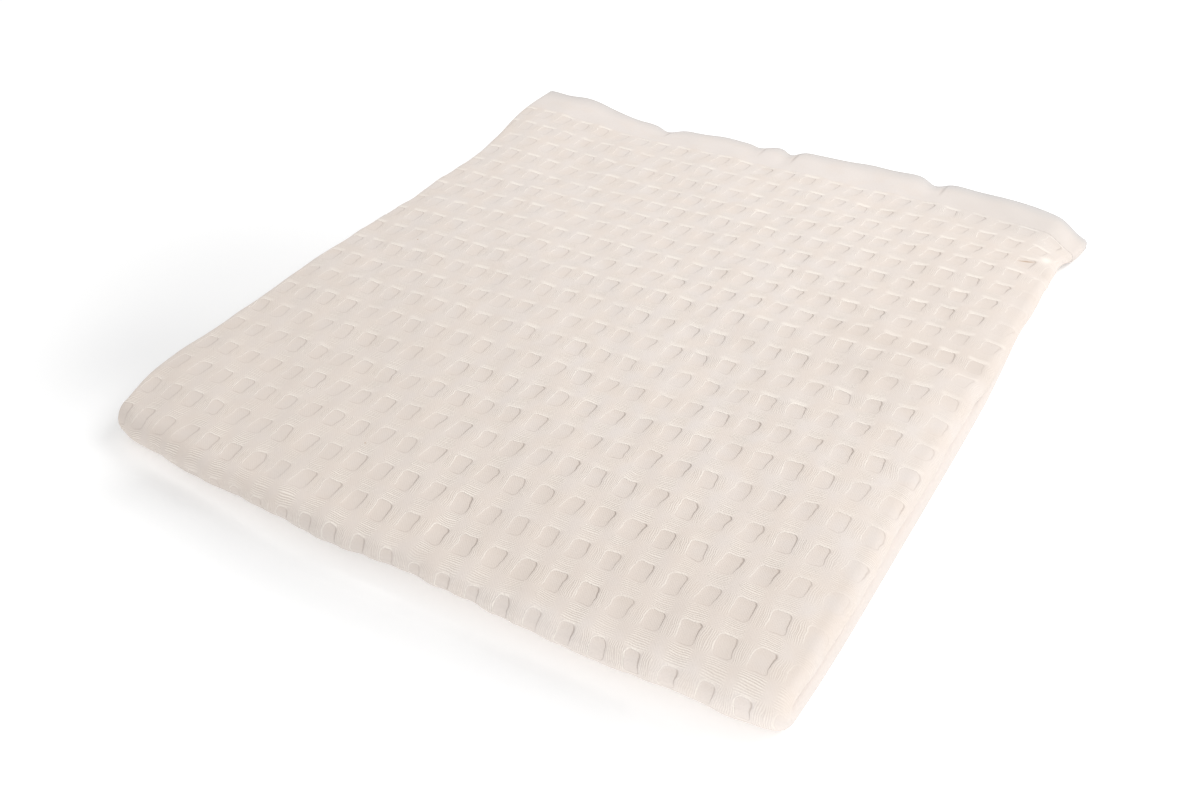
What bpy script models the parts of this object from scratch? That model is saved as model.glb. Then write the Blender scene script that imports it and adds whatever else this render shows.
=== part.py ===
"""Baby blanket, folded in three across and then once in half: one sheet, six plies deep."""
import bpy
import bmesh
import numpy as np

MM = 0.001

# The sheet and how its plies lie, in millimetres.
SHEET = 2.0
HALVES_APART = 3.2
FREE_EDGE_RIGHT = 150.0
FREE_EDGE_BACK = 116.0
FREE_EDGE_TURN = 112.0
FREE_EDGE_LEFT = -160.0
FRONT_BEND = -172.0
HEM_END = 198.0
PLY_STEP_BACK = 1.5
LOWER_HEM_BACK = 1.0
BOX_CENTRE_X = -4.942
BOX_CENTRE_Y = 7.349

# Where the columns of the next table stand across the blanket.
COLUMN_X = (-165.0, -145.0, -105.0, -26.0, 53.0, 105.0, 145.0, 157.0)

# Height of the top over the floor, a row for each line across the blanket, front to back.
TOP_HEIGHT = (
    # y, left rim, left, mid left, middle, mid right, right in, right, right rim
    (-172.0, 17.4, 17.6, 17.6, 17.4, 17.0, 18.0, 18.8, 18.4),
    (-147.0, 20.6, 21.0, 20.1, 20.3, 19.0, 19.8, 20.8, 19.6),
    (-112.0, 21.6, 22.0, 21.2, 21.7, 22.5, 21.8, 22.6, 21.6),
    (-78.0, 22.8, 23.3, 23.0, 23.7, 24.2, 25.6, 26.1, 24.4),
    (-43.0, 23.9, 24.6, 25.1, 25.7, 24.9, 26.6, 27.1, 25.4),
    (-9.0, 24.2, 24.8, 25.0, 25.7, 25.2, 26.2, 26.6, 25.0),
    (9.0, 24.5, 25.2, 26.0, 26.5, 26.9, 27.6, 27.8, 26.0),
    (26.0, 24.8, 25.6, 26.4, 25.5, 25.6, 25.2, 23.4, 21.9),
    (60.0, 24.6, 25.1, 25.4, 23.8, 24.1, 23.4, 22.9, 21.5),
    (112.0, 25.6, 25.6, 22.7, 21.6, 21.9, 21.3, 20.6, 19.0),
    (147.0, 26.8, 26.2, 22.8, 21.0, 19.3, 19.0, 17.2, 14.0),
    (172.0, 27.8, 27.2, 22.6, 20.8, 18.7, 18.0, 14.6, 12.2),
    (198.0, 28.0, 28.4, 20.3, 20.2, 20.3, 17.6, 13.6, 11.8),
)

# How far the two side folds reach at each line, for the upper and the lower half.
SIDE_REACH = (
    # y, left, right upper, right lower
    (-184.0, -160.0, 161.0, 161.0),
    (-172.0, -163.0, 162.4, 162.4),
    (-158.0, -166.0, 163.0, 163.0),
    (-138.0, -167.5, 163.4, 163.4),
    (-100.0, -166.5, 163.6, 163.4),
    (-40.0, -168.6, 163.4, 163.2),
    (20.0, -167.0, 163.2, 162.4),
    (60.0, -166.6, 162.8, 160.4),
    (100.0, -165.6, 162.0, 157.6),
    (130.0, -167.8, 160.6, 155.6),
    (155.0, -172.5, 159.6, 153.0),
    (176.0, -174.6, 162.8, 151.5),
    (198.0, -174.8, 164.8, 151.5),
)

# How far forward the front fold reaches at each column.
FRONT_REACH = (
    # x, y
    (-166.0, -165.0),
    (-150.0, -169.5),
    (-130.0, -172.5),
    (-100.0, -176.5),
    (-60.0, -179.2),
    (-20.0, -181.8),
    (12.0, -180.2),
    (48.0, -182.4),
    (92.0, -183.4),
    (130.0, -181.8),
    (152.0, -180.2),
    (164.0, -177.0),
)

# Small gathers in the back hem: where, how wide, how much shorter and how much lower.
GATHERS = (
    # x, half width, shorter, lower
    (-86.0, 7.0, 3.0, 1.2),
    (-25.0, 6.0, 2.2, 1.0),
    (-5.0, 5.0, 3.4, 1.6),
    (80.0, 6.0, 3.0, 1.8),
)

# The upper half's hem is rounded off at the right back corner, between these two columns.
CORNER_FROM = 136.0
CORNER_TO = 163.0
CORNER_ROUNDED = 8.0

# There the upper half also droops over the lower one, down to the floor.
DROOP_FROM_X = 146.0
DROOP_TO_X = 163.0
DROOP_FROM_Y = 138.0
DROOP_TO_Y = 176.0
DROOP = 5.6

# Short soft troughs that run in from the right-hand side fold.
TROUGHS = (
    # y, starts at x, half width, depth
    (124.0, 136.0, 5.0, 2.2),
    (17.0, 84.0, 6.0, 0.8),
)

# Lines of points across the plies and along the blanket.
MIDDLE_PLY_STEPS = 8
LEFT_FOLD_STEPS = 5
RIGHT_FOLD_STEPS = 7
# Shares of the way across, closer together where the right back corner droops.
OUTER_PLY_SHARES = (0.0, 0.075, 0.15, 0.225, 0.3, 0.375, 0.45, 0.525, 0.6, 0.675, 0.75, 0.825, 0.88, 0.92,
                    0.945, 0.96, 0.975, 0.99)
INNER_PLY_SHARES = (0.0, 0.01, 0.025, 0.04, 0.055, 0.08, 0.12, 0.175, 0.25, 0.375, 0.5, 0.625, 0.75,
                    0.875, 1.0)
UPPER_LINES = (198.0, 190.0, 181.0, 172.0, 160.0, 147.0, 134.0, 129.0, 124.0, 119.0, 108.0, 84.0,
               60.0, 40.0, 26.0, 17.0, 9.0, -9.0, -26.0, -43.0, -60.0, -78.0, -95.0, -112.0,
               -130.0, -147.0, -160.0)
BEND_STEPS = 8
LOWER_LINES = (-158.0, -138.0, -100.0, -40.0, 20.0, 60.0, 100.0, 130.0, 155.0, 176.0, 188.0, 198.0)

COTTON = (0.80, 0.75, 0.70, 1.0)


def clear_scene():
    """Empties the scene the script starts in."""
    for old in list(bpy.data.objects):
        bpy.data.objects.remove(old, do_unlink=True)


def slopes(xs, ys):
    """Slope of a smooth curve at each of its points."""
    m = np.empty_like(ys)
    m[0] = (ys[1] - ys[0]) / (xs[1] - xs[0])
    m[-1] = (ys[-1] - ys[-2]) / (xs[-1] - xs[-2])
    span = (xs[2:] - xs[:-2]).reshape((-1,) + (1,) * (ys.ndim - 1))
    m[1:-1] = (ys[2:] - ys[:-2]) / span
    return m


def smooth(x, xs, ys):
    """Smooth curve through (xs, ys) at x, level beyond its ends."""
    xs = np.asarray(xs, float)
    ys = np.asarray(ys, float)
    m = slopes(xs, ys)
    x = min(max(x, xs[0]), xs[-1])
    i = min(int(np.searchsorted(xs, x, side="right")) - 1, len(xs) - 2)
    h = xs[i + 1] - xs[i]
    t = (x - xs[i]) / h
    first = (1 + 2 * t) * (1 - t) ** 2 * ys[i] + t * (1 - t) ** 2 * h * m[i]
    return first + t * t * (3 - 2 * t) * ys[i + 1] + t * t * (t - 1) * h * m[i + 1]


def column(table, k):
    """One named column of a table."""
    return [row[k] for row in table]


def top_height(x, y):
    """Height of the top over the floor, with the troughs and the gathers in it."""
    rows = np.array([row[1:] for row in TOP_HEIGHT])
    across = smooth(y, column(TOP_HEIGHT, 0), rows)
    h = float(smooth(x, COLUMN_X, across))
    for at, start, half, depth in TROUGHS:
        along = min(max((x - start) / 20.0, 0.0), 1.0)
        h -= depth * along * np.exp(-((y - at) / half) ** 2)
    for at, half, shorter, lower in GATHERS:
        near = min(max((y - 170.0) / 28.0, 0.0), 1.0)
        h -= lower * near * np.exp(-((x - at) / half) ** 2)
    return h


def ease(x, start, end):
    """Goes softly from 0 at start to 1 at end."""
    t = min(max((x - start) / (end - start), 0.0), 1.0)
    return t * t * (3 - 2 * t)


def ply_spacing(h):
    """Spacing of the three plies in each half under a top of height h."""
    return (h - SHEET - HALVES_APART) / 4


def cross_section():
    """Points across the folded strip: ply depth from the outside, and where across."""
    points = []
    for i in range(MIDDLE_PLY_STEPS):
        points.append(("middle ply", i / MIDDLE_PLY_STEPS))
    for i in range(LEFT_FOLD_STEPS):
        points.append(("left fold", i / LEFT_FOLD_STEPS))
    for share in OUTER_PLY_SHARES:
        points.append(("outer ply", share))
    for i in range(RIGHT_FOLD_STEPS):
        points.append(("right fold", i / RIGHT_FOLD_STEPS))
    for share in INNER_PLY_SHARES:
        points.append(("inner ply", share))
    return points


def lengthwise():
    """Points along the blanket: upper half from the hem, the front bend, lower half to the hem."""
    points = [("upper", y) for y in UPPER_LINES]
    points += [("bend", i / BEND_STEPS) for i in range(BEND_STEPS + 1)]
    points += [("lower", y) for y in LOWER_LINES]
    return points


def lean(x, table_x, table_y):
    """How much longer a fold is along its slanting line than straight across."""
    rise = (smooth(x + 2, table_x, table_y) - smooth(x - 2, table_x, table_y)) / 4
    return float(np.sqrt(1 + rise * rise))


def side_reach(y, lower):
    """Left and right reach at a line, in the upper half (0) to the lower half (1)."""
    ys = column(SIDE_REACH, 0)
    left = float(smooth(y, ys, column(SIDE_REACH, 1)))
    up = float(smooth(y, ys, column(SIDE_REACH, 2)))
    low = float(smooth(y, ys, column(SIDE_REACH, 3)))
    return left, up * (1 - lower) + low * lower


def sheet_point(across, along):
    """Middle of the sheet at one point of its grid."""
    part, a = across
    stretch, b = along
    y = FRONT_BEND if stretch == "bend" else b
    lower = {"upper": 0.0, "bend": b if stretch == "bend" else 0.0, "lower": 1.0}[stretch]
    left, right = side_reach(y, lower)
    rim_left = ply_spacing(top_height(COLUMN_X[0], y))
    rim_right = ply_spacing(top_height(COLUMN_X[-1], y))
    ys = column(SIDE_REACH, 0)
    left_lean = lean(y, ys, column(SIDE_REACH, 1))
    right_lean = lean(y, ys, column(SIDE_REACH, 3 if lower > 0.5 else 2))
    left_turn = left + (rim_left / 2) * left_lean + SHEET / 2
    right_turn = right - rim_right * right_lean - SHEET / 2
    back = min(max((y - FREE_EDGE_TURN) / (HEM_END - FREE_EDGE_TURN), 0.0), 1.0)
    free_right = FREE_EDGE_RIGHT * (1 - back) + FREE_EDGE_BACK * back
    if part == "middle ply":
        x = free_right + (left_turn - free_right) * a
        depth = 1.0
    elif part == "left fold":
        x = left_turn - (rim_left / 2) * left_lean * np.sin(np.pi * a)
        depth = 0.5 + 0.5 * np.cos(np.pi * a)
    elif part == "outer ply":
        x = left_turn + (right_turn - left_turn) * a
        depth = 0.0
    elif part == "right fold":
        x = right_turn + rim_right * right_lean * np.sin(np.pi * a)
        depth = 1.0 - np.cos(np.pi * a)
    else:
        x = right_turn + (FREE_EDGE_LEFT - right_turn) * a
        depth = 2.0
    level = min(max(x, left_turn), right_turn)
    h = top_height(level, y)
    ply = ply_spacing(h)
    from_middle = HALVES_APART / 2 + (2.0 - depth) * ply
    centre = h / 2
    fx = column(FRONT_REACH, 0)
    front_lean = lean(x, fx, column(FRONT_REACH, 1))
    outermost = (HALVES_APART / 2 + 2 * ply) * front_lean + SHEET / 2
    bend_at = float(smooth(x, fx, column(FRONT_REACH, 1))) + outermost
    shift = bend_at - FRONT_BEND
    hold = min(max((y - FRONT_BEND) / 150.0, 0.0), 1.0)
    shift *= (1 - hold) ** 2 * (1 + 2 * hold)
    if stretch == "bend":
        turn = np.pi * (0.5 - b)
        out = -from_middle * front_lean * np.cos(turn)
        return x, FRONT_BEND + shift + out, centre + from_middle * np.sin(turn)
    near = min(max((y - 165.0) / (HEM_END - 165.0), 0.0), 1.0)
    trim = PLY_STEP_BACK * depth + LOWER_HEM_BACK * lower
    for at, half, shorter, down in GATHERS:
        if stretch == "upper":
            trim += shorter * np.exp(-((x - at) / half) ** 2)
    if stretch == "upper":
        corner = min(max((x - CORNER_FROM) / (CORNER_TO - CORNER_FROM), 0.0), 1.0)
        trim += CORNER_ROUNDED * corner ** 2
    y_here = y + shift - trim * near
    if stretch == "lower":
        return x, y_here, centre - from_middle
    droop = DROOP * ease(x, DROOP_FROM_X, DROOP_TO_X) * ease(y, DROOP_FROM_Y, DROOP_TO_Y)
    return x, y_here, centre + from_middle - droop


def build_blanket(material, collection):
    """The whole blanket as one bent sheet given its thickness."""
    across = cross_section()
    along = lengthwise()
    bm = bmesh.new()
    bmesh.ops.create_grid(bm, x_segments=len(across) - 1, y_segments=len(along) - 1, size=1.0)
    for v in bm.verts:
        i = int(round((v.co.x + 1) / 2 * (len(across) - 1)))
        j = int(round((v.co.y + 1) / 2 * (len(along) - 1)))
        x, y, z = sheet_point(across[i], along[j])
        v.co = ((x - BOX_CENTRE_X) * MM, (y - BOX_CENTRE_Y) * MM, z * MM)
    bm.normal_update()
    mesh = bpy.data.meshes.new("blanket")
    bm.to_mesh(mesh)
    bm.free()
    mesh.materials.append(material)
    obj = bpy.data.objects.new("blanket", mesh)
    collection.objects.link(obj)
    solid = obj.modifiers.new("thickness", "SOLIDIFY")
    solid.thickness = SHEET * MM
    solid.offset = 0.0
    solid.use_even_offset = True
    solid.use_rim = True
    return obj


def main():
    clear_scene()
    collection = bpy.data.collections.new("baby_blanket")
    bpy.context.scene.collection.children.link(collection)
    material = bpy.data.materials.new("cotton")
    material.use_nodes = True
    shader = material.node_tree.nodes["Principled BSDF"]
    shader.inputs["Base Color"].default_value = COTTON
    shader.inputs["Roughness"].default_value = 0.9
    build_blanket(material, collection)


if __name__ == "__main__":
    main()
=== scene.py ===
"""Looks of the baby blanket: one honeycomb-woven cotton sheet, folded six plies deep, on a pale stage."""
import bpy
import bmesh
import numpy as np
from bpy.props import FloatProperty, FloatVectorProperty, PointerProperty
from mathutils import Matrix, Vector


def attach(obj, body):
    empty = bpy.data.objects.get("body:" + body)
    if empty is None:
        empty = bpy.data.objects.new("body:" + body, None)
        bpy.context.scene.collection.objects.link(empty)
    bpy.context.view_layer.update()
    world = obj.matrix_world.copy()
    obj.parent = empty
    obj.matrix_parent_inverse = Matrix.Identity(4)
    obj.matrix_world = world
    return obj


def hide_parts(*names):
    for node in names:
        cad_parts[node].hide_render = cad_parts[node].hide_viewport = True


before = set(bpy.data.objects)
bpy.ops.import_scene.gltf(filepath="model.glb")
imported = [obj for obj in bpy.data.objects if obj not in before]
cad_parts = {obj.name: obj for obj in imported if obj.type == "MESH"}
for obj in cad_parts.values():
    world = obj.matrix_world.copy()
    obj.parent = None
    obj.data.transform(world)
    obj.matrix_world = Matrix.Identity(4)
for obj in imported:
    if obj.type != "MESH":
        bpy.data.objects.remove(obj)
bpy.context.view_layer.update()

bl_info = {
    "name": "Folded Baby Blanket",
    "version": (1, 0, 0),
    "blender": (4, 5, 0),
    "location": "View3D > Sidebar > Blanket",
    "description": "Makes a folded honeycomb-woven cotton blanket on a pale stage",
    "category": "Object",
}

MM = 0.001

# Turns in radians, and the number whose powers make the bells.
FULL_TURN = 6.2832
HALF_TURN = 3.1416
EULER = 2.718

# How the plies lie, in millimetres, as in the plain solid that this cloth stands for: x to the right, y to
# the back. Each half is three plies, and the front bend joins the halves.
SHEET = 2.0
HALVES_APART = 3.2
FRONT_BEND = -172.0
HEM_SEAM = 172.0
HEM_END = 198.0

# The middle ply's free edge runs at the right, and from one line on it slants in towards the back. The
# inner ply's free edge runs at the left.
FREE_EDGE_RIGHT = 150.0
FREE_EDGE_TURN = 112.0
FREE_EDGE_BACK = 116.0
FREE_EDGE_LEFT = -160.0

# From this line to the back hem, each deeper ply steps back a little more, and the lower half too.
TRIM_FROM = 165.0
PLY_STEP_BACK = 1.5
LOWER_HEM_BACK = 1.0

# Middle of the folded blanket's box, which stands over the middle of the floor.
BOX_CENTRE_X = -4.942
BOX_CENTRE_Y = 7.349

# Where the columns of the next table stand across the blanket.
COLUMN_X = (-165.0, -145.0, -105.0, -26.0, 53.0, 105.0, 145.0, 157.0)

# Height of the top over the floor, a row for each line across the blanket, front to back.
TOP_HEIGHT = (
    # y, left rim, left, mid left, middle, mid right, right in, right, right rim
    (-172.0, 17.4, 17.6, 17.6, 17.4, 17.0, 18.0, 18.8, 18.4),
    (-147.0, 20.6, 21.0, 20.1, 20.3, 19.0, 19.8, 20.8, 19.6),
    (-112.0, 21.6, 22.0, 21.2, 21.7, 22.5, 21.8, 22.6, 21.6),
    (-78.0, 22.8, 23.3, 23.0, 23.7, 24.2, 25.6, 26.1, 24.4),
    (-43.0, 23.9, 24.6, 25.1, 25.7, 24.9, 26.6, 27.1, 25.4),
    (-9.0, 24.2, 24.8, 25.0, 25.7, 25.2, 26.2, 26.6, 25.0),
    (9.0, 24.5, 25.2, 26.0, 26.5, 26.9, 27.6, 27.8, 26.0),
    (26.0, 24.8, 25.6, 26.4, 25.5, 25.6, 25.2, 23.4, 21.9),
    (60.0, 24.6, 25.1, 25.4, 23.8, 24.1, 23.4, 22.9, 21.5),
    (112.0, 25.6, 25.6, 22.7, 21.6, 21.9, 21.3, 20.6, 19.0),
    (147.0, 26.8, 26.2, 22.8, 21.0, 19.3, 19.0, 17.2, 14.0),
    (172.0, 27.8, 27.2, 22.6, 20.8, 18.7, 18.0, 14.6, 12.2),
    (198.0, 28.0, 28.4, 20.3, 20.2, 20.3, 17.6, 13.6, 11.8),
)

# How far the two side folds reach at each line, for the upper and the lower half. The left one reaches
# up to 3 mm less than on the plain solid.
SIDE_REACH = (
    # y, left, right upper, right lower
    (-184.0, -160.0, 161.0, 161.0),
    (-172.0, -163.0, 162.4, 162.4),
    (-158.0, -166.0, 163.0, 163.0),
    (-138.0, -166.8, 163.4, 163.4),
    (-100.0, -164.8, 163.6, 163.4),
    (-40.0, -165.6, 163.4, 163.2),
    (20.0, -164.0, 163.2, 162.4),
    (60.0, -163.8, 162.8, 160.4),
    (100.0, -164.0, 162.0, 157.6),
    (130.0, -167.4, 160.6, 155.6),
    (155.0, -172.5, 159.6, 153.0),
    (176.0, -174.6, 162.8, 151.5),
    (198.0, -174.8, 164.8, 151.5),
)

# How far forward the front bend reaches at each column. Behind it, the shift fades out over this length.
REACH_FADE = 150.0
FRONT_REACH = (
    # x, y
    (-166.0, -165.0),
    (-150.0, -169.5),
    (-130.0, -172.5),
    (-100.0, -176.5),
    (-60.0, -179.2),
    (-20.0, -181.8),
    (12.0, -180.2),
    (48.0, -182.4),
    (92.0, -183.4),
    (130.0, -181.8),
    (152.0, -180.2),
    (164.0, -177.0),
)

# The lower half of the front bend sits back under the upper half, which the plain solid leaves out: over
# which part of the turn, over which length behind it that fades out, and how far back at each column.
TUCK_FROM = 0.36
TUCK_TO = 0.95
TUCK_FADE = 70.0
FRONT_TUCK = (
    # x, how far
    (-166.0, 0.0),
    (-150.0, 0.5),
    (-125.0, 2.0),
    (-105.0, 4.0),
    (-85.0, 6.0),
    (-50.0, 8.0),
    (-10.0, 10.0),
    (30.0, 13.0),
    (75.0, 13.0),
    (105.0, 9.0),
    (135.0, 5.5),
    (150.0, 3.0),
    (164.0, 0.0),
)

# Small gathers in the back hem, which start at this line: where, how wide, how much shorter and lower.
GATHER_FROM = 170.0
GATHERS = (
    # x, half width, shorter, lower
    (-86.0, 7.0, 3.0, 1.2),
    (-25.0, 6.0, 2.2, 1.0),
    (-5.0, 5.0, 3.4, 1.6),
    (80.0, 6.0, 3.0, 1.8),
)

# The upper half's hem is rounded off at the right back corner, between these two columns.
CORNER_FROM = 136.0
CORNER_TO = 163.0
CORNER_ROUNDED = 8.0

# There the upper half also droops over the lower one, down to the floor.
DROOP_FROM_X = 146.0
DROOP_TO_X = 163.0
DROOP_FROM_Y = 138.0
DROOP_TO_Y = 176.0
DROOP = 5.6

# Short soft troughs that run in from the right-hand side fold, and the length over which they start.
TROUGH_START = 20.0
TROUGHS = (
    # y, starts at x, half width, depth
    (124.0, 136.0, 5.0, 2.2),
    (17.0, 84.0, 6.0, 0.8),
)

# The weave drifts sideways a little from row to row: how far at the left and at the right side, which
# are this far from the middle.
DRIFT_SIDE = 150.0
WEAVE_DRIFT = (
    # y, left, right
    (-175.0, 0.0, 4.2),
    (-140.0, 0.0, 0.7),
    (-60.0, 0.0, 0.0),
    (0.0, -1.0, -2.5),
    (50.0, -1.0, -1.5),
    (110.0, 0.0, 0.5),
    (135.0, 1.0, 2.5),
    (150.0, 1.0, 4.0),
    (168.0, 3.0, 7.0),
    (198.0, 3.0, 7.0),
)

# A cell: its half width and half length as shares of the pitch, how much each varies from cell to cell,
# and how round its corners are, in the relief and in the pattern.
CELL_HALF_WIDE = 0.25
CELL_HALF_LONG = 0.265
WIDE_VARIES = 0.4
LONG_VARIES = 0.5
RELIEF_CORNER = 1.8
PATTERN_CORNER = 1.9

# What makes two numbers differ from cell to cell: factors across and along, and a spread.
CELL_SEED = (12.9898, 7.233, 43.7)
OTHER_SEED = (7.117, 11.31, 37.3)

# Spacing of the floats that cross between the cells, of those beside them, and of the hem's stitches.
RUNG = 0.76
STRAND = 0.72
STITCH = 2.6

# The hem's seam and its stitches stand out more between these two lines, towards the right.
SEAM_FROM = 110.0
SEAM_TO = 145.0

# Past this line, on the right-hand fold, the cells are pulled nearly flat.
FLAT_FOLD_FROM = 151.0
FLAT_FOLD_FULL = 157.0

# Towards the left, between these two lines, the cells get shallower and their outlines fainter.
CALM_FROM = -60.0
CALM_TO = 90.0

# Towards the back, between these two lines, the threads show less.
BACK_FROM = -150.0
BACK_TO = 60.0

# The relief is left out where it is hidden: on deeper plies, round the front bend and at the left fold.
HIDDEN_DEPTH = (1.2, 1.9)
HIDDEN_TURN = (0.5, 1.0)
HIDDEN_LEFT = (-175.0, -160.0)

# Painted shadow in a short brown slit and a painted highlight spot at the back right: place and half
# widths on the flat cloth.
SLIT_AT = (145.0, 132.0)
SLIT_HALF = (2.9, 0.65)
SLIT_SLANT = 0.45
HIGHLIGHT_SPOT_AT = (151.4, 140.0)
HIGHLIGHT_SPOT_HALF = (2.4, 4.6)

# Slow unevenness of the cloth: two wave lengths, where the wave starts and its height.
RIPPLES = (
    # across, along, start, height
    (61.0, 87.0, 0.4, 0.22),
    (43.0, -52.0, 2.1, 0.16),
    (-29.0, 71.0, 4.0, 0.14),
    (23.0, 31.0, 1.2, 0.10),
)

# The even part of the outer ply: where it starts, in cells from the middle, how many cells it has, and
# over which length its two ends are fitted to the side folds.
FIRST_CELL = -12.25
CELLS_ACROSS = 24
SIDE_FIT = 40.0

# Lines of points across the plies and along the blanket.
LINES_A_CELL = 8
MIDDLE_PLY_LINES = 8
LEFT_FOLD_LINES = 6
RIGHT_FOLD_LINES = 10
FRONT_BEND_LINES = 10
HEM_LINES = 9
LOWER_LINES = 22
INNER_PLY_SHARES = (0.0, 0.01, 0.025, 0.04, 0.055, 0.08, 0.12, 0.175, 0.25, 0.375, 0.5, 0.625, 0.75,
                    0.875, 1.0)

# The camera, as worked out from the weave's even grid: its place, its right, its up, and its lens.
CAMERA_AT = (0.26665, -0.42812, 0.32280)
CAMERA_RIGHT = (0.85057, 0.52354, -0.04854)
CAMERA_UP = (-0.27015, 0.51443, 0.81386)
CAMERA_LENS = 37.32
CAMERA_SENSOR = 36.0

# The two soft lights, in metres: size, place and target.
MAIN_LIGHT = ((0.92, 0.65), (0.69, 0.55, 0.97), (0.0, 0.0, 0.0))
LOW_LIGHT = ((0.20, 0.05), (0.22, -0.40, 0.04), (0.10, -0.18, 0.01))

# The surroundings are brighter towards this side than behind.
BRIGHT_SIDE = (0.50, -0.80, 0.33)

# Spots of the floor, in metres, where it glows less from below: painted shadow beside the blanket.
PAINTED_SHADOW_SPOTS = (
    # x, y, half width, share taken away
    (-0.212, -0.045, 0.120, 0.64),
    (-0.198, -0.118, 0.050, 0.78),
)

# In front of the blanket the floor glows less in a band, as painted shadow, and more in a narrower band
# close to the cloth, as painted light, both in metres: the line they follow, how much further out it lies
# at the right, and where they start and end.
BAND_LINE = 0.180
BAND_FURTHER = 0.010
BAND_FURTHER_X = (-0.13, -0.02)
BAND_STARTS_X = (-0.17, -0.12)
BAND_ENDS_X = (0.10, 0.22)
# Distance in front of the line, half width and share.
PAINTED_SHADOW_BAND = (0.015, 0.019, 0.72)
PAINTED_LIGHT_BAND = (-0.002, 0.008, 0.65)


class BlanketSizes(bpy.types.PropertyGroup):
    """Sizes of the cloth and its weave."""
    cell_width: FloatProperty(
        name="Cell width", description="From one woven cell to the next across the blanket",
        default=0.013159, min=0.005, max=0.04, unit="LENGTH", precision=4)
    cell_length: FloatProperty(
        name="Cell length", description="From one woven cell to the next along the blanket",
        default=0.0173, min=0.005, max=0.04, unit="LENGTH", precision=4)
    cell_depth: FloatProperty(
        name="Cell depth", description="How far the middle of a cell sinks under the cloth round it",
        default=0.00045, min=0.0, max=0.002, unit="LENGTH", precision=5)
    pillow_height: FloatProperty(
        name="Pillow height", description="How far the cloth between four cells stands up",
        default=0.0003, min=0.0, max=0.002, unit="LENGTH", precision=4)
    thread_spacing: FloatProperty(
        name="Thread spacing", description="From one thread of the ground weave to the next",
        default=0.0006, min=0.0002, max=0.002, unit="LENGTH", precision=4)
    sheet: FloatProperty(
        name="Sheet", description="Thickness of the cloth",
        default=0.002, min=0.0005, max=0.003, unit="LENGTH", precision=4)


class BlanketColours(bpy.types.PropertyGroup):
    """Colours of the cloth and its threads, and of its painted highlights, shadows and shade."""
    cotton: FloatVectorProperty(
        name="Cotton", description="Natural undyed cotton", subtype="COLOR", size=3,
        default=(0.762, 0.687, 0.627), min=0.0, max=1.0)
    cord_highlight: FloatVectorProperty(
        name="Raised cord", description="The thick thread round a cell", subtype="COLOR", size=3,
        default=(0.96, 0.89, 0.81), min=0.0, max=1.0)
    gap: FloatVectorProperty(
        name="Gap", description="The narrow gap at the side of a cell", subtype="COLOR", size=3,
        default=(0.42, 0.34, 0.29), min=0.0, max=1.0)
    fleck_and_slit_shadow: FloatVectorProperty(
        name="Fleck", description="A speck of cotton seed in the thread", subtype="COLOR", size=3,
        default=(0.42, 0.26, 0.14), min=0.0, max=1.0)


class StageSettings(bpy.types.PropertyGroup):
    """Floor, light and surroundings."""
    floor: FloatVectorProperty(
        name="Floor", description="Colour of the floor", subtype="COLOR", size=3,
        default=(0.88, 0.88, 0.88), min=0.0, max=1.0)
    glow: FloatProperty(
        name="Glow", description="Light that comes up through the floor, as on a light table",
        default=0.28, min=0.0, max=2.0)
    surroundings: FloatProperty(
        name="Surroundings", description="Strength of the white light from all round",
        default=0.71, min=0.0, max=5.0)
    main_light: FloatProperty(
        name="Main light", description="Power of the soft light from the right, behind",
        default=8.5, min=0.0, max=500.0, unit="POWER")
    low_light: FloatProperty(
        name="Low light", description="Power of the small light low at the front, on the right",
        default=0.13, min=0.0, max=50.0, unit="POWER")


def column(table, k):
    """One column of a table, as an array."""
    return np.array([row[k] for row in table], float)


def slopes(xs, ys):
    """Slope of a smooth curve at each of its points."""
    m = np.empty_like(ys)
    m[..., 0] = (ys[..., 1] - ys[..., 0]) / (xs[1] - xs[0])
    m[..., -1] = (ys[..., -1] - ys[..., -2]) / (xs[-1] - xs[-2])
    m[..., 1:-1] = (ys[..., 2:] - ys[..., :-2]) / (xs[2:] - xs[:-2])
    return m


def smooth(x, xs, ys):
    """Smooth curve through (xs, ys) at every x, level beyond its ends."""
    xs = np.asarray(xs, float)
    x = np.clip(np.asarray(x, float), xs[0], xs[-1])
    ys = np.array(np.broadcast_to(ys, x.shape + (len(xs),)))
    m = slopes(xs, ys)
    i = np.clip(np.searchsorted(xs, x, side="right") - 1, 0, len(xs) - 2)
    here = i[..., None]
    h = xs[i + 1] - xs[i]
    t = (x - xs[i]) / h
    y0 = np.take_along_axis(ys, here, -1)[..., 0]
    y1 = np.take_along_axis(ys, here + 1, -1)[..., 0]
    m0 = np.take_along_axis(m, here, -1)[..., 0]
    m1 = np.take_along_axis(m, here + 1, -1)[..., 0]
    first = (1 + 2 * t) * (1 - t) ** 2 * y0 + t * (1 - t) ** 2 * h * m0
    return first + t * t * (3 - 2 * t) * y1 + t * t * (t - 1) * h * m1


def ease(x, start, end):
    """Goes softly from 0 at start to 1 at end."""
    t = np.clip((x - start) / (end - start), 0.0, 1.0)
    return t * t * (3 - 2 * t)


def top_height(x, y):
    """Height of the top over the floor, with the troughs and the gathers in it."""
    ys = column(TOP_HEIGHT, 0)
    across = [smooth(y, ys, column(TOP_HEIGHT, k + 1)) for k in range(len(COLUMN_X))]
    h = smooth(x, COLUMN_X, np.stack(across, -1))
    for at, start, half, depth in TROUGHS:
        along = np.clip((x - start) / TROUGH_START, 0.0, 1.0)
        h = h - depth * along * np.exp(-((y - at) / half) ** 2)
    for at, half, shorter, lower in GATHERS:
        near = np.clip((y - GATHER_FROM) / (HEM_END - GATHER_FROM), 0.0, 1.0)
        h = h - lower * near * np.exp(-((x - at) / half) ** 2)
    return h


def ply_spacing(h):
    """Spacing of the three plies in each half under a top of height h."""
    return (h - SHEET - HALVES_APART) / 4


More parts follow.
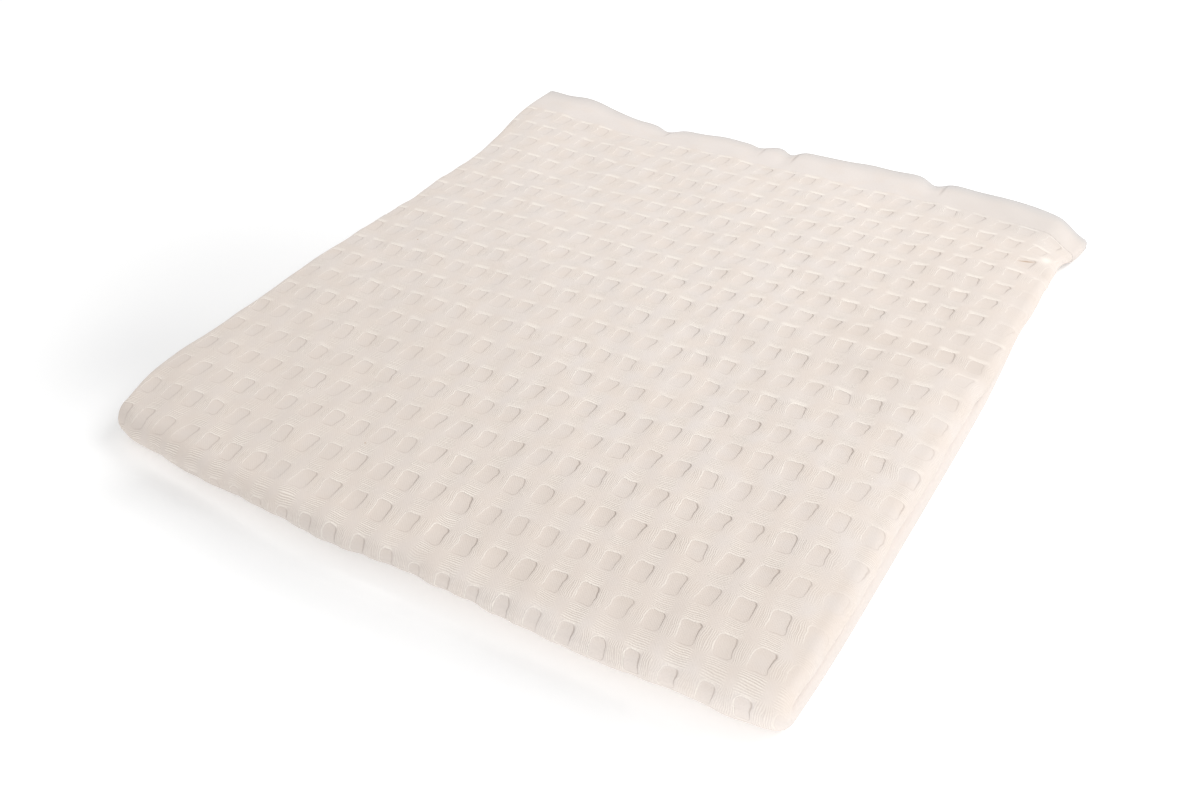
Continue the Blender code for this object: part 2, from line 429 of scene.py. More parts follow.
def lean(x, table_x, table_y):
    """How much longer a fold is along its slanting line than straight across."""
    rise = (smooth(x + 2, table_x, table_y) - smooth(x - 2, table_x, table_y)) / 4
    return np.sqrt(1 + rise * rise)


def lengthwise(cell_length):
    """Lines along the blanket: where each lies, how far round the front bend, and in which half."""
    step = cell_length / LINES_A_CELL
    count = int(round((HEM_SEAM - FRONT_BEND) / step))
    hem = np.linspace(HEM_END, HEM_SEAM, HEM_LINES, endpoint=False)
    top = np.linspace(HEM_SEAM, FRONT_BEND, count, endpoint=False)
    under = FRONT_BEND + (HEM_END - FRONT_BEND) * np.linspace(0, 1, LOWER_LINES + 1)[1:]
    bend = np.linspace(0, 1, FRONT_BEND_LINES + 1)
    y = np.concatenate([hem, top, np.full(len(bend), FRONT_BEND), under])
    turn = np.concatenate([np.zeros(len(hem) + len(top)), bend, np.ones(len(under))])
    return y[:, None], turn[:, None]


def crosswise(y, turn, cell_width):
    """Points across the plies on every line: x, depth under the outer ply, and place on the flat cloth."""
    ys = column(SIDE_REACH, 0)
    left = smooth(y, ys, column(SIDE_REACH, 1))
    upper = smooth(y, ys, column(SIDE_REACH, 2))
    lower = smooth(y, ys, column(SIDE_REACH, 3))
    right = upper * (1 - turn) + lower * turn
    left_ply = ply_spacing(top_height(np.full_like(y, COLUMN_X[0]), y))
    right_ply = ply_spacing(top_height(np.full_like(y, COLUMN_X[-1]), y))
    left_lean = lean(y, ys, column(SIDE_REACH, 1))
    upper_lean = lean(y, ys, column(SIDE_REACH, 2))
    lower_lean = lean(y, ys, column(SIDE_REACH, 3))
    right_lean = np.where(turn > 0.5, lower_lean, upper_lean)
    left_turn = left + (left_ply / 2) * left_lean + SHEET / 2
    right_turn = right - right_ply * right_lean - SHEET / 2
    back = np.clip((y - FREE_EDGE_TURN) / (HEM_END - FREE_EDGE_TURN), 0.0, 1.0)
    free_right = FREE_EDGE_RIGHT * (1 - back) + FREE_EDGE_BACK * back

    a = np.linspace(0, 1, MIDDLE_PLY_LINES, endpoint=False)[None, :]
    middle_x = free_right + (left_turn - free_right) * a
    middle_s = 2 * left_turn - np.pi * left_ply / 2 - middle_x
    a = np.linspace(0, 1, LEFT_FOLD_LINES, endpoint=False)[None, :]
    left_x = left_turn - (left_ply / 2) * left_lean * np.sin(np.pi * a)
    left_depth = 0.5 + 0.5 * np.cos(np.pi * a) + 0 * y
    left_s = left_turn - np.pi * left_ply / 2 * (1 - a)
    first = FIRST_CELL * cell_width
    last = (FIRST_CELL + CELLS_ACROSS) * cell_width
    even = np.linspace(first, last, CELLS_ACROSS * LINES_A_CELL + 1)[None, :-1]
    outer_x = even + (left_turn - first) * (1 - ease(even, first, first + SIDE_FIT))
    outer_x = outer_x + (right_turn - last) * ease(even, last - SIDE_FIT, last)
    a = np.linspace(0, 1, RIGHT_FOLD_LINES, endpoint=False)[None, :]
    right_x = right_turn + right_ply * right_lean * np.sin(np.pi * a)
    right_depth = 1.0 - np.cos(np.pi * a) + 0 * y
    right_s = right_turn + np.pi * right_ply * a
    a = np.array(INNER_PLY_SHARES)[None, :]
    inner_x = right_turn + (FREE_EDGE_LEFT - right_turn) * a
    inner_s = right_turn + np.pi * right_ply + (right_turn - inner_x)

    x = np.concatenate([middle_x, left_x, outer_x, right_x, inner_x], 1)
    s = np.concatenate([middle_s, left_s, outer_x, right_s, inner_s], 1)
    middle_depth = np.ones_like(middle_x)
    outer_depth = np.zeros_like(outer_x)
    inner_depth = np.full_like(inner_x, 2.0)
    depth = np.concatenate([middle_depth, left_depth, outer_depth, right_depth, inner_depth], 1)
    level = np.clip(x, left_turn, right_turn)
    return x, depth, s, level


def folded_places(cell_width, cell_length):
    """Middle of the cloth at each point of its grid, and the same point on the flat cloth."""
    y, turn = lengthwise(cell_length)
    x, depth, s, level = crosswise(y, turn, cell_width)
    y = y + 0 * x
    turn = turn + 0 * x
    h = top_height(level, y)
    ply = ply_spacing(h)
    from_middle = HALVES_APART / 2 + (2.0 - depth) * ply
    front_x = column(FRONT_REACH, 0)
    front_y = column(FRONT_REACH, 1)
    front_lean = lean(x, front_x, front_y)
    outermost = (HALVES_APART / 2 + 2 * ply) * front_lean + SHEET / 2
    shift = smooth(x, front_x, front_y) + outermost - FRONT_BEND
    hold = np.clip((y - FRONT_BEND) / REACH_FADE, 0.0, 1.0)
    shift = shift * (1 - hold) ** 2 * (1 + 2 * hold)
    bending = (y <= FRONT_BEND) & (turn > 0) & (turn < 1)
    near = np.clip((y - TRIM_FROM) / (HEM_END - TRIM_FROM), 0.0, 1.0)
    trim = PLY_STEP_BACK * depth + LOWER_HEM_BACK * turn
    for at, half, shorter, lower in GATHERS:
        trim = trim + shorter * np.exp(-((x - at) / half) ** 2) * (turn == 0)
    corner = np.clip((x - CORNER_FROM) / (CORNER_TO - CORNER_FROM), 0.0, 1.0)
    trim = trim + CORNER_ROUNDED * corner ** 2 * (turn == 0)
    round_bend = np.pi * (0.5 - turn)
    out = from_middle * front_lean * np.cos(round_bend)
    y_here = np.where(bending, FRONT_BEND + shift - out, y + shift - trim * near)
    tuck = smooth(x, column(FRONT_TUCK, 0), column(FRONT_TUCK, 1)) * ease(turn, TUCK_FROM, TUCK_TO)
    y_here = y_here + tuck * (1 - ease(y, FRONT_BEND, FRONT_BEND + TUCK_FADE))
    z = h / 2 + from_middle * np.where(bending, np.sin(round_bend), np.where(turn == 0, 1.0, -1.0))
    droop = DROOP * ease(x, DROOP_FROM_X, DROOP_TO_X) * ease(y, DROOP_FROM_Y, DROOP_TO_Y)
    z = z - droop * (turn == 0)
    bend_y = FRONT_BEND + shift
    t = np.where(turn == 0, y + shift, bend_y - np.pi * from_middle * turn)
    t = np.where((turn == 1) & (y > FRONT_BEND), bend_y - np.pi * from_middle - (y - FRONT_BEND), t)
    rows = column(WEAVE_DRIFT, 0)
    left = smooth(y, rows, column(WEAVE_DRIFT, 1))
    right = smooth(y, rows, column(WEAVE_DRIFT, 2))
    share = np.clip((x + DRIFT_SIDE) / (2 * DRIFT_SIDE), 0.0, 1.0)
    s = s - (left + (right - left) * share) * (1 - ease(turn, 0.6, 1.0))
    return np.stack([x, y_here, z], -1), s, t, depth, turn


def cell_number(i, j):
    """A number from 0 to 1 that differs from cell to cell."""
    n = np.sin(i * CELL_SEED[0] + j * CELL_SEED[1]) * CELL_SEED[2]
    return n - np.floor(n)


def woven_relief(s, t, sizes):
    """How far the cloth stands out at a place on the flat cloth, in millimetres."""
    wide = sizes.cell_width / MM
    long = sizes.cell_length / MM
    u = s / wide + 0.5
    v = t / long + 1.0
    i = np.floor(u)
    j = np.floor(v)
    px = (u - i - 0.5) * wide
    py = (v - j - 0.5) * long
    n = cell_number(i, j)
    half_x = wide * CELL_HALF_WIDE + WIDE_VARIES * n
    half_y = long * CELL_HALF_LONG + LONG_VARIES * n
    qx = np.maximum(np.abs(px) - half_x + RELIEF_CORNER, 0)
    qy = np.maximum(np.abs(py) - half_y + RELIEF_CORNER, 0)
    edge = np.hypot(qx, qy) - RELIEF_CORNER
    sunk = 1 - ease(edge, -1.4, 1.0)
    pillow = (0.5 + 0.5 * np.cos(2 * np.pi * u)) * (0.5 + 0.5 * np.cos(2 * np.pi * v))
    relief = sizes.pillow_height / MM * pillow - sizes.cell_depth / MM * sunk * (0.7 + 0.6 * n)
    relief = relief * (1 - 0.6 * ease(-s, CALM_FROM, CALM_TO))
    relief = relief * (1 - 0.7 * ease(s, FLAT_FOLD_FROM, FLAT_FOLD_FULL))
    hem = ease(t, HEM_SEAM - 0.5, HEM_SEAM + 1.5)
    relief = relief * (1 - hem) + 0.15 * hem - 1.1 * ease(t, HEM_END - 7.0, HEM_END + 1.0)
    seam = 0.15 + 0.45 * ease(s, SEAM_FROM, SEAM_TO)
    return relief - seam * np.exp(-((t - HEM_SEAM) / 1.3) ** 2)


def ripples(x, y):
    """Slow unevenness of the cloth, in millimetres."""
    total = 0 * x
    for across, along, start, height in RIPPLES:
        total = total + height * np.sin(2 * np.pi * (x / across + y / along) + start)
    return total


def smooth_faces(mesh):
    """Shades a mesh softly."""
    mesh.polygons.foreach_set("use_smooth", np.ones(len(mesh.polygons), bool))


class Value:
    """A socket of a material: sums written on it add their Math nodes."""

    def __init__(self, looks, socket):
        self.looks = looks
        self.socket = socket

    def maths(self, operation, *others):
        """One Math node on this value."""
        values = dict(enumerate((self,) + others))
        return self.looks.node("ShaderNodeMath", {"operation": operation}, values)

    def behind(self, operation, other):
        """One Math node with this value second."""
        return self.looks.node("ShaderNodeMath", {"operation": operation}, {0: other, 1: self})

    def __add__(self, other):
        return self.maths("ADD", other)

    def __radd__(self, other):
        return self.behind("ADD", other)

    def __sub__(self, other):
        return self.maths("SUBTRACT", other)

    def __rsub__(self, other):
        return self.behind("SUBTRACT", other)

    def __mul__(self, other):
        return self.maths("MULTIPLY", other)

    def __rmul__(self, other):
        return self.behind("MULTIPLY", other)

    def __truediv__(self, other):
        return self.maths("DIVIDE", other)

    def __rtruediv__(self, other):
        return self.behind("DIVIDE", other)

    def __abs__(self):
        return self.maths("ABSOLUTE")

    def __neg__(self):
        return self.maths("MULTIPLY", -1.0)


class Looks:
    """The nodes of a material or of the surroundings."""

    def __init__(self, owner, shader="Principled BSDF"):
        owner.use_nodes = True
        self.owner = owner
        self.tree = owner.node_tree
        self.shader = self.tree.nodes[shader]

    def node(self, kind, settings, values, output=0):
        """One node: its settings first, then the values or links of its sockets."""
        made = self.tree.nodes.new(kind)
        for name, setting in settings.items():
            setattr(made, name, setting)
        for key, value in values.items():
            if isinstance(value, Value):
                self.tree.links.new(value.socket, made.inputs[key])
            else:
                made.inputs[key].default_value = value
        return Value(self, made.outputs[output])

    def give(self, name, value):
        """Links a value to the shader, or sets it there."""
        if isinstance(value, Value):
            self.tree.links.new(value.socket, self.shader.inputs[name])
        else:
            self.shader.inputs[name].default_value = value

    def blend(self, share, first, second):
        """Mixes two colours."""
        return self.node("ShaderNodeMix", {"data_type": "RGBA"}, {0: share, 6: first, 7: second}, 2)

    def soft(self, value, start, end):
        """Goes softly from 0 at start to 1 at end."""
        settings = {"interpolation_type": "SMOOTHSTEP"}
        return self.node("ShaderNodeMapRange", settings, {0: value, 1: start, 2: end})

    def bell(self, value, half):
        """1 where the value is 0, and softly nothing past a few half widths."""
        scaled = value / half
        return self.node("ShaderNodeMath", {"operation": "POWER"}, {0: EULER, 1: scaled * scaled * -1.0})

    def scattered(self, i, j, seed):
        """A number from 0 to 1 that differs from cell to cell."""
        return ((i * seed[0] + j * seed[1]).maths("SINE") * seed[2]).maths("FRACT")


def rgba(colour):
    """A colour with full alpha."""
    return (colour[0], colour[1], colour[2], 1.0)


def cotton_material(sizes, colours):
    """Natural cotton: sunk cells with raised cords, narrow gaps, ladders of floats, fine threads and seed
    flecks, with painted highlights, painted shadows and painted shade over them.

    Places are in millimetres on the flat cloth: s to the right, t to the back, and front its opposite.
    """
    looks = Looks(bpy.data.materials.new("natural honeycomb cotton"))
    wide = sizes.cell_width / MM
    long = sizes.cell_length / MM
    flat = looks.node("ShaderNodeUVMap", {"uv_map": "flat cloth"}, {})
    s = looks.node("ShaderNodeSeparateXYZ", {}, {0: flat}, 0) * 1000.0
    t = looks.node("ShaderNodeSeparateXYZ", {}, {0: flat}, 1) * 1000.0
    front = -t
    waver = looks.node("ShaderNodeTexNoise", {}, {"Vector": flat, "Scale": 130.0, "Detail": 2.0})
    stray = looks.node("ShaderNodeTexNoise", {}, {"Vector": flat, "Scale": 71.0, "Detail": 2.0})

    # The cell that a point lies in, and its place there.
    u = (s + (waver - 0.5) * 2.8) * (1.0 / wide) + 0.5
    v = (t + (stray - 0.5) * 3.4) * (1.0 / long) + 1.0
    i = u.maths("FLOOR")
    j = v.maths("FLOOR")
    n = looks.scattered(i, j, CELL_SEED)
    other = looks.scattered(i, j, OTHER_SEED)
    py = (v - j - 0.5) * long
    px = (u - i - 0.5) * wide + py * (other - 0.5) * 0.26
    on_bend = looks.soft(front, -FRONT_BEND, 6.0 - FRONT_BEND)
    half_x = n * WIDE_VARIES + wide * CELL_HALF_WIDE - on_bend * 0.6
    half_y = n * LONG_VARIES + long * CELL_HALF_LONG - on_bend * 0.8
    qx = (abs(px) - half_x + PATTERN_CORNER).maths("MAXIMUM", 0.0)
    qy = (abs(py) - half_y + PATTERN_CORNER).maths("MAXIMUM", 0.0)
    edge = (qx * qx + qy * qy).maths("SQRT") - PATTERN_CORNER
    inside = 1.0 - looks.soft(edge, -0.9, 0.2)

    # Where the pattern is full and where it is faint.
    hem = looks.soft(t, HEM_SEAM - 0.4, HEM_SEAM + 0.4)
    past = looks.soft(s, FLAT_FOLD_FROM, FLAT_FOLD_FULL)
    ends = looks.soft(abs(t + 30.0), 70.0, 110.0)
    body = (1.0 - hem) * (1.0 - past * (ends * 0.55 + 0.3))
    field = inside * body
    back = looks.soft(t, BACK_FROM, BACK_TO)
    calm = looks.soft(-s, CALM_FROM, CALM_TO)

    # Round a cell: the raised cord, lighter as painted highlight on the far and left sides; painted shadow
    # in the gap at its right side; painted shade in its crease and under its far rim.
    slub = looks.node("ShaderNodeTexNoise", {}, {"Vector": flat, "Scale": 900.0, "Detail": 3.0})
    rx = px / half_x
    ry = py / half_y
    # The cord shows on the far and left sides, where it catches the light: partly the thread's own colour,
    # partly painted highlight.
    cord_highlight_side = looks.soft(ry * 0.84 - rx * 0.72, -0.05, 0.5)
    cord_highlight_side = cord_highlight_side + on_bend * looks.soft(-ry * 0.7 - rx * 0.7, 0.2, 0.8) * 0.7
    broken = looks.soft(slub, 0.36, 0.58) * 0.45 + 0.55
    cord_highlight = looks.bell(edge - 0.3, 0.25) * cord_highlight_side * broken * (other * 0.4 + 0.6) * body
    # Painted shadow: a dark stroke in the narrow gap at the right side of each cell, where its wall is in
    # shade.
    shadowed_gap_side = looks.soft(rx, 0.5, 0.9) * looks.soft(ry, -0.9, 0.4)
    gap_width = looks.soft(ry, -0.4, 0.8) * 0.24 + 0.13
    gap = looks.bell(edge + 0.1, gap_width) * shadowed_gap_side * (n * 0.6 + 0.4) * body * (1.0 - calm * 0.5)
    # Painted shade in a thin crease along the right and near sides of each cell.
    near_side = looks.soft(rx * 0.6 - ry * 0.8, 0.3, 0.8) * 0.6 + 0.4
    crease_shade = looks.bell(edge + 0.12, 0.17) * near_side * (other * 0.5 + 0.5) * body * (1.0 - back * 0.4)
    # Painted shade inside each cell, under its far rim.
    shade_under_far_rim = looks.soft(ry, 0.2, 0.95) * field * (1.0 - calm * 0.6)

    # Between the cells: ladders of floats along the blanket, strands across it, and the ground threads;
    # the threads are drawn light with painted shade between them, and the floats just past each cell's far
    # edge carry a painted highlight.
    beside = 1.0 - looks.soft(abs(px), wide * 0.22, wide * 0.40)
    # Painted highlight on the floats just past each cell's far edge.
    beyond = looks.soft(py, half_y - 0.2, half_y + 0.5) * beside * (other * 0.5 + 0.5) * body
    beyond = beyond * (1.0 - looks.soft(py, half_y + 1.2, half_y + 2.8))
    floats = looks.soft(abs(py), half_y + 0.2, half_y + 1.0) * beside * body * (n * 0.6 + 0.4)
    bowed = abs(py) - px * px * 0.004
    rungs = (bowed * (FULL_TURN / RUNG)).maths("SINE") * 0.5 + 0.5
    between_columns = looks.soft(abs(px), half_x + 0.2, half_x + 1.1)
    beside_column = 1.0 - looks.soft(abs(py), long * 0.20, long * 0.36)
    upright = between_columns * beside_column * body * (other * 0.6 + 0.4)
    leaning = abs(px) - py * py * 0.010
    strands = (leaning * (FULL_TURN / STRAND)).maths("SINE") * 0.5 + 0.5
    pillow = (u * FULL_TURN).maths("COSINE") * (v * FULL_TURN).maths("COSINE") * 0.5 + 0.5
    pitch = sizes.thread_spacing / MM
    warp = (s * (HALF_TURN / pitch)).maths("SINE")
    weft = (t * (HALF_TURN / pitch)).maths("SINE")
    ground = warp * weft

    # How high each stands, with the stitches of the hem and its puckers.
    height = ground * 0.03 + slub * 0.11 + cord_highlight * 0.20 - gap * 0.30 - crease_shade * 0.10
    height = height - field * 0.10 + floats * rungs * 0.14 + upright * strands * 0.11
    sewn = looks.soft(s, SEAM_FROM, SEAM_TO) * 0.75 + 0.25
    each_stitch = (s * (FULL_TURN / STITCH)).maths("SINE").maths("MAXIMUM", 0.0)
    stitches = looks.bell(t - HEM_SEAM - 0.6, 0.35) * each_stitch
    height = height + (stitches * 0.2 - looks.bell(t - HEM_SEAM + 0.4, 0.45) * 0.3) * sewn
    pucker = 0.0
    for at, half, shorter, lower in GATHERS:
        pucker = looks.bell(s - at, 0.8) * (0.3 * shorter) + pucker
    pucker = pucker * looks.soft(t, 178.0, 190.0)
    height = height - pucker * 0.4
    bumps = {"Strength": 0.9, "Distance": MM, "Height": height}
    looks.give("Normal", looks.node("ShaderNodeBump", {}, bumps))

    # The cloth's colour, warm to cool, and painted shade: broad and soft to the left, at the front, at the
    # right and along a trough, and in the cells' recesses and under their far rims.
    cotton = colours.cotton
    cool = (cotton[0] * 1.01, cotton[1] * 1.025, cotton[2] * 1.055, 1.0)
    warm = (cotton[0] * 1.01, cotton[1] * 0.985, cotton[2] * 0.965, 1.0)
    # sunk is the colour of the painted shade.
    sunk = (cotton[0] * 0.93, cotton[1] * 0.91, cotton[2] * 0.895, 1.0)
    shade_grey = (cotton[0] * 0.76, cotton[1] * 0.81, cotton[2] * 0.865, 1.0)
    broad = looks.node("ShaderNodeTexNoise", {}, {"Vector": flat, "Scale": 75.0, "Detail": 2.0})
    tint = looks.soft(broad, 0.3, 0.7) * 0.6 + back * 0.3 + pillow * 0.35 * (1.0 - back) + hem * 0.4
    # Painted light: the front side of the bend is tinted lighter and cooler, more towards the right.
    tint = tint + looks.soft(front, 168.0, 188.0) * (looks.soft(s, -60.0, 60.0) * 0.45 + 0.25)
    left_shade = calm * looks.soft(front, -60.0, 120.0)
    front_shade = looks.soft(s, -90.0, 60.0) * looks.soft(front, 70.0, 165.0)
    front_shade = front_shade * (1.0 - on_bend * looks.soft(s, -30.0, 60.0) * 0.8)
    right_shade = looks.soft(s, 50.0, 120.0) * looks.soft(t, -90.0, 20.0)
    trough_shade = looks.bell(t - 23.0, 7.0) * looks.soft(s, 70.0, 110.0)
    shade = left_shade * 0.45 + front_shade * 0.54 + right_shade * 0.50 + trough_shade * 0.45
    # Painted shade in each cell's recess, less towards the back and the left, and under its far rim.
    deep = field * (0.24 - back * 0.17) * (1.0 - calm * 0.6) + shade_under_far_rim * 0.22
    lit_fold = looks.soft(s, 138.0, 150.0) * looks.soft(front, -40.0, 20.0)
    # Painted shade along the hem's seam, at the right.
    seam = looks.bell(t - HEM_SEAM + 0.3, 0.5) * looks.soft(s, 120.0, 140.0)

    # Painted shade: the hem's rim, the back right corner and the underside of the front bend are greyer.
    rim = looks.soft(t, HEM_END - 13.0, HEM_END) * (looks.soft(s, 20.0, 100.0) * 0.30 + 0.55)
    flare = looks.soft(s, 40.0, 140.0) * looks.soft(t, 140.0, 180.0)
    flare = flare * (1.0 - looks.soft(s, 138.0, 152.0) * 0.6)
    under = looks.soft(front, 174.0, 194.0) * (1.0 - looks.soft(s, -20.0, 60.0))

    # Rare flecks of seed, the painted shadow in the slit and the painted highlight spot.
    seeds = {"Vector": flat, "Scale": 48.0}
    speck = 1.0 - looks.soft(looks.node("ShaderNodeTexVoronoi", {}, seeds), 0.012, 0.022)
    chance = looks.node("ShaderNodeTexVoronoi", {}, seeds, 1)
    rare = looks.soft(looks.node("ShaderNodeSeparateColor", {}, {0: chance}, 0), 0.93, 0.94)
    from_slit = s - SLIT_AT[0]
    slit_shadow = looks.bell(from_slit, SLIT_HALF[0])
    slit_shadow = slit_shadow * looks.bell(t - SLIT_AT[1] - from_slit * SLIT_SLANT, SLIT_HALF[1])
    highlight_spot = looks.bell(s - HIGHLIGHT_SPOT_AT[0], HIGHLIGHT_SPOT_HALF[0])
    highlight_spot = highlight_spot * looks.bell(t - HIGHLIGHT_SPOT_AT[1], HIGHLIGHT_SPOT_HALF[1])

    # Every layer of colour over the one before it.
    cord_highlight_colour = rgba(colours.cord_highlight)
    shadowed_gap_colour = rgba(colours.gap)
    fleck_and_slit_shadow_colour = rgba(colours.fleck_and_slit_shadow)
    layers = (
        # share, colour
        # painted shade in the recesses and under the far rims, and the broad painted shades, less on the
        # lit right fold
        ((deep + shade) * (1.0 - lit_fold * 0.6), sunk),
        # float and strand threads, with painted shade between them and a painted highlight past each far
        # edge
        (floats * (1.0 - rungs) * (0.34 - back * 0.26), shadowed_gap_colour),
        (floats * rungs * (0.75 - back * 0.35), cord_highlight_colour),
        (beyond * (back * 0.45 + 0.15), cord_highlight_colour),
        (upright * (1.0 - strands) * (0.24 - back * 0.16), shadowed_gap_colour),
        (upright * strands * (0.50 - back * 0.25), cord_highlight_colour),
        # the raised cord, partly painted highlight
        (cord_highlight * 0.95, cord_highlight_colour),
        # painted shadow in the gap at each cell's right side
        (gap * (0.68 - back * 0.24), shadowed_gap_colour),
        # painted shade in the crease round each cell
        (crease_shade * 0.40, shadowed_gap_colour),
        # painted shade in the puckers and along the seam
        (pucker * 0.35, shadowed_gap_colour),
        (seam * 0.35, shadowed_gap_colour),
        # painted shade on the hem's rim, the back right corner and under the front bend
        (rim, shade_grey),
        (flare * 0.36, shade_grey),
        (under * 0.55, shade_grey),
        # seed flecks in the cotton, painted shadow in the slit and a painted highlight spot
        (speck * rare * 0.8, fleck_and_slit_shadow_colour),
        (slit_shadow * 0.85, fleck_and_slit_shadow_colour),
        (highlight_spot * 0.8, cord_highlight_colour),
    )
    colour = looks.blend(tint, warm, cool)
    for share, over in layers:
        colour = looks.blend(share, colour, over)
    looks.give("Base Color", colour)
    looks.give("Roughness", 0.92)
    looks.give("Specular IOR Level", 0.2)
    looks.give("Sheen Weight", 0.15)
    looks.give("Sheen Roughness", 0.5)
    return looks.owner


def floor_material(stage):
    """Matt pale floor with a faint cloudiness, glowing from below, with less glow in a few spots and a
    band as painted shadow, and more in a band by the cloth as painted light.
    """
    looks = Looks(bpy.data.materials.new("pale floor"))
    place = looks.node("ShaderNodeTexCoord", {}, {}, 3)
    cloud = looks.node("ShaderNodeTexNoise", {}, {"Vector": place, "Scale": 3.0, "Detail": 2.0})
    dim = (stage.floor[0] * 0.985, stage.floor[1] * 0.985, stage.floor[2] * 0.985, 1.0)
    looks.give("Base Color", looks.blend(cloud, rgba(stage.floor), dim))
    glow = 1.0
    # Painted shadow on the floor: less glow in spots beside the blanket, at the left.
    for x, y, half, share in PAINTED_SHADOW_SPOTS:
        away = looks.node("ShaderNodeVectorMath", {"operation": "DISTANCE"}, {0: place, 1: (x, y, 0.0)}, 1)
        glow = (1.0 - looks.bell(away, half) * share) * glow
    x = looks.node("ShaderNodeSeparateXYZ", {}, {0: place}, 0)
    y = looks.node("ShaderNodeSeparateXYZ", {}, {0: place}, 1)
    in_front = -y - BAND_LINE - looks.soft(x, *BAND_FURTHER_X) * BAND_FURTHER
    along_front = looks.soft(x, *BAND_STARTS_X) * (1.0 - looks.soft(x, *BAND_ENDS_X))
    # Painted shadow in a band in front of the blanket, and painted light in a narrow band by the cloth.
    at, half, share = PAINTED_SHADOW_BAND
    glow = (1.0 - looks.bell(in_front - at, half) * along_front * share) * glow
    at, half, share = PAINTED_LIGHT_BAND
    glow = looks.bell(in_front - at, half) * along_front * share + glow
    looks.give("Emission Color", looks.blend(glow, (0.0, 0.0, 0.0, 1.0), (1.0, 1.0, 1.0, 1.0)))
    looks.give("Emission Strength", stage.glow)
    looks.give("Roughness", 0.85)
    looks.give("Specular IOR Level", 0.1)
    return looks.owner


class OBJECT_OT_folded_blanket(bpy.types.Operator):
    """Makes the folded, woven sheet in place of the plain one"""
    bl_idname = "object.folded_blanket"
    bl_label = "Folded blanket"

    def execute(self, context):
        sizes = context.scene.blanket_sizes
        colours = context.scene.blanket_colours
        places, s, t, depth, turn = folded_places(sizes.cell_width / MM, sizes.cell_length / MM)
        along = np.gradient(places, axis=0)
        across = np.gradient(places, axis=1)
        outward = np.cross(along, across)
        outward = outward / np.linalg.norm(outward, axis=-1, keepdims=True)
        shown = (1 - ease(depth, *HIDDEN_DEPTH)) * (1 - ease(turn, *HIDDEN_TURN)) * ease(s, *HIDDEN_LEFT)
        raised = (woven_relief(s, t, sizes) + ripples(s, t)) * shown
        places = places + outward * raised[..., None]

        rows, columns = s.shape
        bm = bmesh.new()
        bmesh.ops.create_grid(bm, x_segments=columns - 1, y_segments=rows - 1, size=1.0)
        uv = bm.loops.layers.uv.new("flat cloth")
        grid = {}
        for vert in bm.verts:
            i = int(round((vert.co.x + 1) / 2 * (columns - 1)))
            j = int(round((vert.co.y + 1) / 2 * (rows - 1)))
            grid[vert.index] = (j, i)
        for face in bm.faces:
            for loop in face.loops:
                j, i = grid[loop.vert.index]
                loop[uv].uv = (s[j, i] * MM, t[j, i] * MM)
        for vert in bm.verts:
            j, i = grid[vert.index]
            x, y, z = places[j, i]
            vert.co = ((x - BOX_CENTRE_X) * MM, (y - BOX_CENTRE_Y) * MM, z * MM)
        bm.normal_update()
        mesh = bpy.data.meshes.new("woven_blanket")
        bm.to_mesh(mesh)
        bm.free()
        smooth_faces(mesh)
        mesh.materials.append(cotton_material(sizes, colours))
        blanket = bpy.data.objects.new("woven_blanket", mesh)
        context.scene.collection.objects.link(blanket)
        solid = blanket.modifiers.new("thickness", "SOLIDIFY")
        solid.thickness = sizes.sheet
        solid.offset = 0.0
        solid.use_even_offset = True
        solid.use_rim = True
        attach(blanket, "root")
        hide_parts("blanket")
        return {"FINISHED"}


def aimed(place, target):
    """A light's place, turned towards a target."""
    turn = (Vector(target) - Vector(place)).to_track_quat("-Z", "Y")
    return Matrix.Translation(place) @ turn.to_matrix().to_4x4()


def add_light(name, power, size, place, target):
    """A soft rectangular light."""
    light = bpy.data.lights.new(name, "AREA")
    light.energy = power
    light.shape = "RECTANGLE"
    light.size = size[0]
    light.size_y = size[1]
    lamp = bpy.data.objects.new(name, light)
    bpy.context.scene.collection.objects.link(lamp)
    lamp.matrix_world = aimed(place, target)


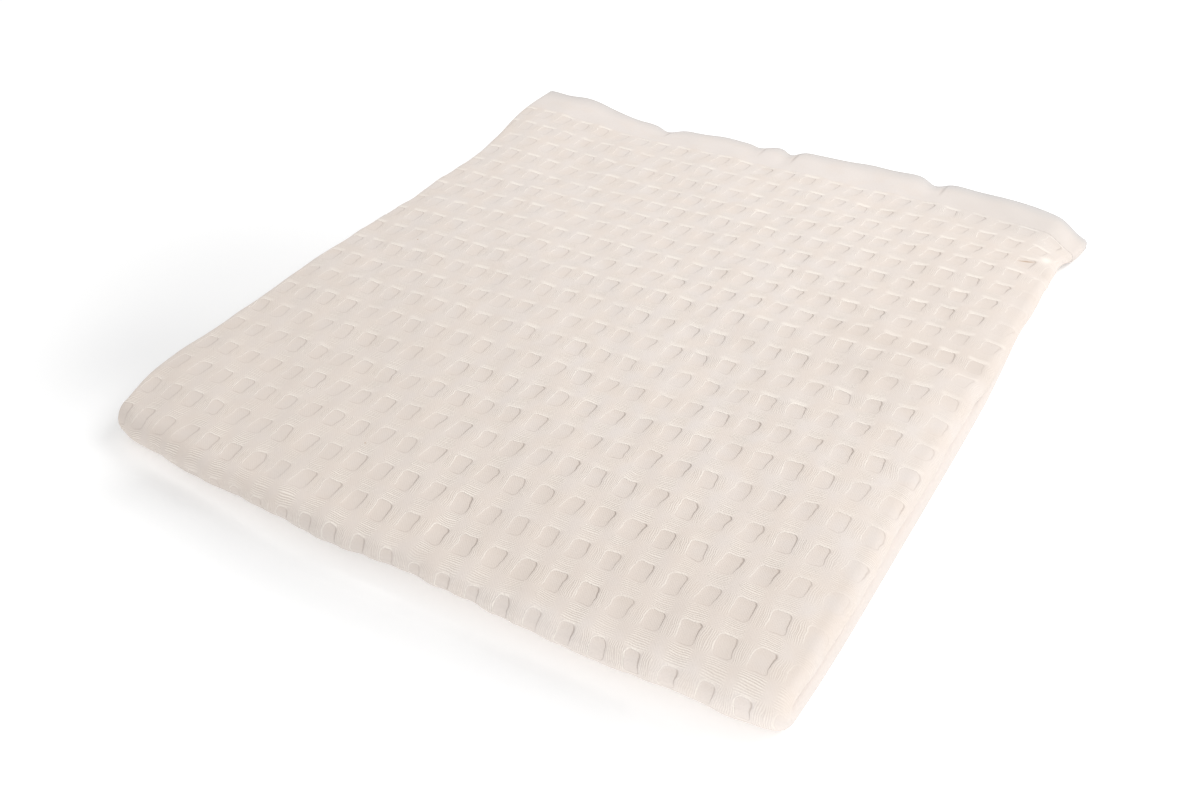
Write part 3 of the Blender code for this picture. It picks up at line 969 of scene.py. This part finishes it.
class OBJECT_OT_pale_stage(bpy.types.Operator):
    """Makes the floor, the soft light and the camera"""
    bl_idname = "object.pale_stage"
    bl_label = "Pale stage"

    def execute(self, context):
        stage = context.scene.stage_settings
        bm = bmesh.new()
        bmesh.ops.create_grid(bm, x_segments=4, y_segments=4, size=4.0)
        mesh = bpy.data.meshes.new("floor")
        bm.to_mesh(mesh)
        bm.free()
        mesh.materials.append(floor_material(stage))
        floor = bpy.data.objects.new("floor", mesh)
        context.scene.collection.objects.link(floor)

        add_light("main light", stage.main_light, *MAIN_LIGHT)
        add_light("low light", stage.low_light, *LOW_LIGHT)

        around = Looks(bpy.data.worlds.new("white surroundings"), "Background")
        way = around.node("ShaderNodeTexCoord", {}, {})
        both = {0: way, 1: BRIGHT_SIDE}
        side = around.node("ShaderNodeVectorMath", {"operation": "DOT_PRODUCT"}, both, 1)
        around.give("Color", (1.0, 1.0, 1.0, 1.0))
        around.give("Strength", (side * 0.20 + 1.0) * stage.surroundings)
        context.scene.world = around.owner
        context.scene.view_settings.view_transform = "Standard"

        camera = bpy.data.cameras.new("camera")
        camera.sensor_fit = "HORIZONTAL"
        camera.sensor_width = CAMERA_SENSOR
        camera.lens = CAMERA_LENS
        camera.clip_start = 0.02
        camera.clip_end = 50.0
        eye = bpy.data.objects.new("camera", camera)
        context.scene.collection.objects.link(eye)
        right = Vector(CAMERA_RIGHT).normalized()
        back = right.cross(Vector(CAMERA_UP)).normalized()
        up = back.cross(right)
        turned = Matrix((right, up, back)).transposed().to_4x4()
        eye.matrix_world = Matrix.Translation(CAMERA_AT) @ turned
        context.scene.camera = eye
        return {"FINISHED"}


class VIEW3D_PT_blanket(bpy.types.Panel):
    """Lists the blanket and its stage"""
    bl_label = "Blanket"
    bl_space_type = "VIEW_3D"
    bl_region_type = "UI"
    bl_category = "Blanket"

    def draw(self, context):
        groups = (context.scene.blanket_sizes, context.scene.blanket_colours, context.scene.stage_settings)
        for group in groups:
            box = self.layout.box()
            for name in group.__annotations__:
                box.prop(group, name)
        self.layout.operator("object.pale_stage")
        self.layout.operator("object.folded_blanket")


CLASSES = (BlanketSizes, BlanketColours, StageSettings, OBJECT_OT_pale_stage, OBJECT_OT_folded_blanket,
           VIEW3D_PT_blanket)


def register():
    """Adds the classes and the settings."""
    for each in CLASSES:
        bpy.utils.register_class(each)
    bpy.types.Scene.blanket_sizes = PointerProperty(type=BlanketSizes)
    bpy.types.Scene.blanket_colours = PointerProperty(type=BlanketColours)
    bpy.types.Scene.stage_settings = PointerProperty(type=StageSettings)


def unregister():
    """Takes the settings and the classes away."""
    del bpy.types.Scene.stage_settings
    del bpy.types.Scene.blanket_colours
    del bpy.types.Scene.blanket_sizes
    for each in reversed(CLASSES):
        bpy.utils.unregister_class(each)


def main():
    """Makes the stage and the blanket."""
    register()
    bpy.ops.object.pale_stage()
    bpy.ops.object.folded_blanket()


if __name__ == "__main__":
    main()
